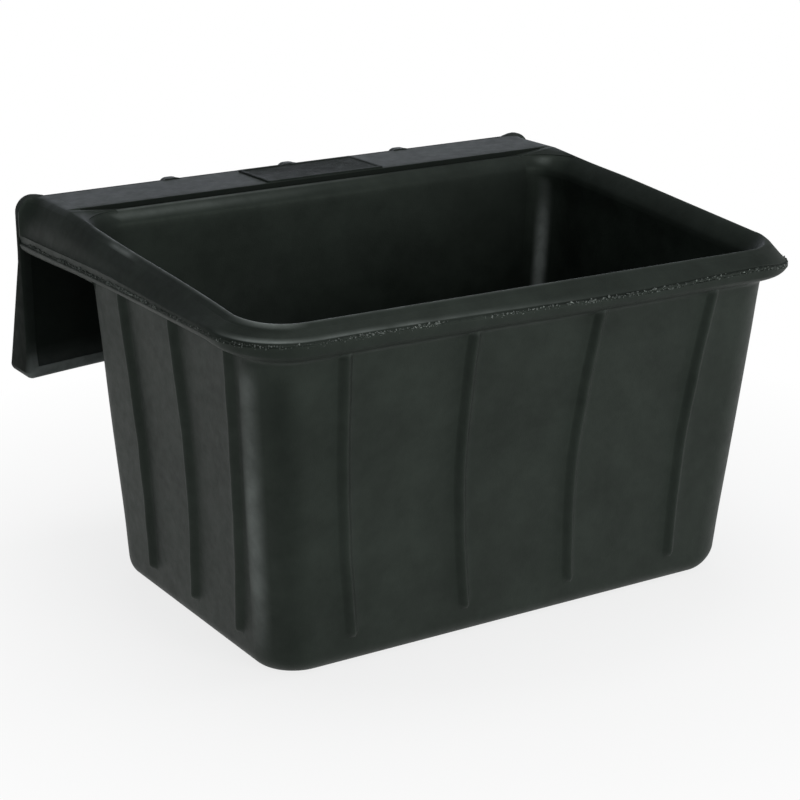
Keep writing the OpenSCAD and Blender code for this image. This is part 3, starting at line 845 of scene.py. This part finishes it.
def make_panel():
    """Plain raised panel on the saddle, with a fine border."""
    border = ((-0.4, -0.3), (-0.1, 0.15), (0.0, 0.8), (0.25, 1.1), (0.6, PANEL_H), (2.6, PANEL_H),
              (3.0, 1.05), (3.3, 0.75), (3.8, 0.65))
    rings = []
    for inset, z in border:
        r = max(2.0 - inset, 0.6)
        w, d = PANEL_W / 2 - inset - r, PANEL_D / 2 - inset - r
        rings.append([
            (PANEL_X + sx * w + r * math.cos(t), PANEL_Y + sy * d + r * math.sin(t), SADDLE_Z + z)
            for sx, sy, start in QUARTERS for t in turns(start, start + 90, QUARTER_STEPS)
        ])
    make_loft("saddle_panel", [rings], ["saddle_panel"], material=PANEL_RUBBER)


# Flash and crumbs of rubber along the mould's parting line

OCTAHEDRON = ((0, 2, 4), (2, 1, 4), (1, 3, 4), (3, 0, 4), (2, 0, 5), (1, 2, 5), (3, 1, 5), (0, 3, 5))
# Numbers that the chances of the crumbs and of the nicks are drawn with
CRUMBS, NICKS = range(3600), range(5000, 5026)


def chance(i, k):
    """Number from 0 to 1 that looks random and is the same every time."""
    return math.sin(i * 12.9898 + k * 78.233 + 4.1) * 43758.5453 % 1.0


def parting_line():
    """Points of the wall under the parting line, about one per millimetre, as (x, y), the way out
    there, and how far out and how high the line is."""
    cheek_y = LEG_Y - LEG_FILLET
    cheek, cheek_steps, corner_steps = cheek_y - SIDE_BACK_Y, 78, 46
    side, front = 2 * flat_half(FRONT_RIGHT, WALL_H), 2 * flat_half(FRONT_LEFT, WALL_H)

    def corner(c):
        return [(c, k / corner_steps, None) for k in range(corner_steps)]

    def straight(c, length):
        return [(c, 1.0, k / length) for k in range(int(length))]

    walk = straight(BACK_LEFT, side) + corner(FRONT_LEFT) + straight(FRONT_LEFT, front)
    walk += corner(FRONT_RIGHT) + straight(FRONT_RIGHT, side)
    path = [(-HALF_TOP, cheek_y - cheek * k / cheek_steps, -1.0, 0.0) for k in range(cheek_steps)]
    path += [(*outline_point(w, WALL_H, 0.0), *outward(w)) for w in walk]
    path += [(HALF_TOP, SIDE_BACK_Y + cheek * k / (cheek_steps - 1), 1.0, 0.0)
             for k in range(cheek_steps)]
    out = []
    for x, y, nx, ny in path:
        _, tip, _ = rim_heights(x, y)
        out.append((x, y, nx, ny, 17.5 - 0.6 * band_share(y), WALL_H + tip + 0.4))
    return out


def make_flash():
    """Ragged fin of rubber along the parting line, from one cheek round the front to the other."""
    rings = []
    for k, (x, y, nx, ny, base_out, base_z) in enumerate(parting_line()):
        rag = max(0.0, 0.3 + 1.2 * wave(k, 0.0, 0.0, 2.3) + 0.6 * wave(k, 5.0, 0.0, 19.0))
        up = 0.6 * wave(k, 0.0, 7.0, 3.1) + 0.5 * wave(k, 3.0, 7.0, 30.0)
        height = 0.1 + 0.7 * rag
        fin = ((-0.8, -0.9), (0.25, -0.55), (height * 0.8, -0.2), (height, 0.05), (height * 0.7, 0.25),
               (0.2, 0.6), (-0.8, 0.9))
        rings.append([
            (x + nx * (base_out + out), y + ny * (base_out + out), base_z + up + z) for out, z in fin
        ])
    make_loft("parting_flash", [rings], [], sharp=25.0)


def make_chips():
    """Crumbs of torn rubber along the parting line, and a few nicks on the left rim."""
    points, faces = [], []

    def chip(i, x, y, z, size):
        first = len(points)
        for k, axis in enumerate(((1, 0, 0), (0, 1, 0), (0, 0, 1))):
            for way in (1, -1):
                r = size * (0.35 + 0.75 * chance(i, 10 + 2 * k + (way > 0)))
                draw = 20 + 6 * k + 3 * (way > 0)
                skew = [0.3 * size * (chance(i, draw + j) - 0.5) for j in range(3)]
                points.append(tuple(c + way * r * a + e for c, a, e in zip((x, y, z), axis, skew)))
        faces.extend(tuple(first + k for k in face) for face in OCTAHEDRON)

    line = parting_line()
    for i in CRUMBS:
        k = int(chance(i, 1) * len(line))
        x, y, nx, ny, base_out, base_z = line[k]
        if 0.5 + wave(k, 8.0, 2.0, 27.0) + 0.5 * wave(k, 1.0, 6.0, 7.0) < chance(i, 2):
            continue
        up = (chance(i, 3) - 0.5) * 2.8
        d = base_out + 0.15 + 0.35 * chance(i, 4) - 0.25 * abs(up)
        chip(i, x + nx * d, y + ny * d, base_z + up, 0.38 + 0.72 * chance(i, 5) ** 2)
    for i in NICKS:
        y = 18.0 + 36.0 * chance(i, 1)
        top, drop = crest_z(-HALF_TOP, y), 1.0 + 7.0 * chance(i, 2) ** 1.5
        chip(i, -HALF_TOP - 5.2 - 0.78 * drop, y, top - 1.6 - drop, 0.35 + 0.6 * chance(i, 3) ** 2)
    make_piece("flash_chips", points, faces, [], sharp=20.0, material=FLASH_RUBBER)


make_tub()
make_cheek(1, "right_cheek")
make_cheek(-1, "left_cheek")
make_saddle()
make_leg()
make_flange()
make_leg_ribs()
make_panel()
make_flash()
make_chips()


# Floor, light and camera

def make_floor():
    """White floor. What the camera sees of it is mostly plain white, with some of the real light and
    shadow near the object; in the object's reflections it is nearly plain white too."""
    half = 14.0
    corners = [(-half, -half, 0), (half, -half, 0), (half, half, 0), (-half, half, 0)]
    mesh = bpy.data.meshes.new("floor")
    mesh.from_pydata(corners, [], [(0, 1, 2, 3)])
    floor = bpy.data.objects.new("floor", mesh)
    bpy.context.scene.collection.objects.link(floor)
    material = bpy.data.materials.new("floor")
    material.use_nodes = True
    tree = material.node_tree
    tree.nodes.remove(tree.nodes["Principled BSDF"])
    place = tree.nodes.new("ShaderNodeTexCoord").outputs["Object"]
    rays = tree.nodes.new("ShaderNodeLightPath").outputs
    length = tree.nodes.new("ShaderNodeVectorMath")
    length.operation = "LENGTH"
    far = feed(tree, length, {0: place})["Value"]
    seen = calc(tree, "MULTIPLY", rays["Is Camera Ray"], spread(tree, far, 0.2, 0.55, 0.8, 1.0))
    mirrored = calc(tree, "MAXIMUM", rays["Is Glossy Ray"], rays["Is Transmission Ray"])
    mirrored = calc(tree, "MULTIPLY", mirrored, spread(tree, far, 0.25, 0.7, 0.82, 1.0))
    white_share = calc(tree, "MAXIMUM", seen, mirrored)
    plain = feed(tree, tree.nodes.new("ShaderNodeBsdfDiffuse"), {"Color": (0.9, 0.9, 0.9, 1)})[0]
    white = feed(tree, tree.nodes.new("ShaderNodeEmission"), {"Strength": 1.0})[0]
    mixed = feed(tree, tree.nodes.new("ShaderNodeMixShader"), {0: white_share, 1: plain, 2: white})[0]
    feed(tree, tree.nodes["Material Output"], {"Surface": mixed})
    mesh.materials.append(material)


def make_world():
    world = bpy.data.worlds.new("studio")
    bpy.context.scene.world = world
    world.use_nodes = True
    background = world.node_tree.nodes["Background"]
    feed(world.node_tree, background, {"Color": (0.94, 0.98, 1.0, 1), "Strength": 0.25})


def make_lamp(name, place, aim, width, height, power, colour=(1.0, 1.0, 1.0)):
    light = bpy.data.lights.new(name, "AREA")
    light.shape = "RECTANGLE"
    light.size, light.size_y, light.energy, light.color = width, height, power, colour
    lamp = bpy.data.objects.new(name, light)
    bpy.context.scene.collection.objects.link(lamp)
    lamp.location = place
    lamp.rotation_euler = (Vector(aim) - Vector(place)).to_track_quat("-Z", "Y").to_euler()


def make_camera():
    """Camera fitted to the photograph's edges."""
    place = (-0.7505, -1.2021, 0.5770)
    turn, rise, roll = math.radians(-31.43), math.radians(17.79), math.radians(0.55)
    back = Vector((math.sin(turn) * math.cos(rise), -math.cos(turn) * math.cos(rise), math.sin(rise)))
    level = (-back).cross(Vector((0, 0, 1))).normalized()
    below = (-back).cross(level)
    right = level * math.cos(roll) + below * math.sin(roll)
    down = below * math.cos(roll) - level * math.sin(roll)
    data = bpy.data.cameras.new("camera")
    data.sensor_width, data.lens = 36.0, 97.13
    camera = bpy.data.objects.new("camera", data)
    bpy.context.scene.collection.objects.link(camera)
    camera.matrix_world = Matrix((*zip(right, -down, back, place), (0, 0, 0, 1)))
    bpy.context.scene.camera = camera


make_floor()
make_world()
make_lamp("top", (0.1, 0.0, 2.4), aim=(0.1, 0.0, 0.2), width=1.4, height=1.4, power=15.0)
make_lamp("right_front", (2.2, -0.7, 0.9), aim=(0.0, 0.0, 0.15), width=0.9, height=0.9, power=11.0)
make_lamp("front", (0.5, -2.6, 0.8), aim=(0.0, 0.0, 0.15), width=1.4, height=0.9, power=25.0)
make_lamp("behind", (0.9, 2.4, 0.7), aim=(0.0, 0.0, 0.3), width=2.4, height=0.8, power=9.4,
          colour=(0.84, 0.87, 1.0))
make_camera()

bpy.context.scene.view_settings.view_transform = "Standard"
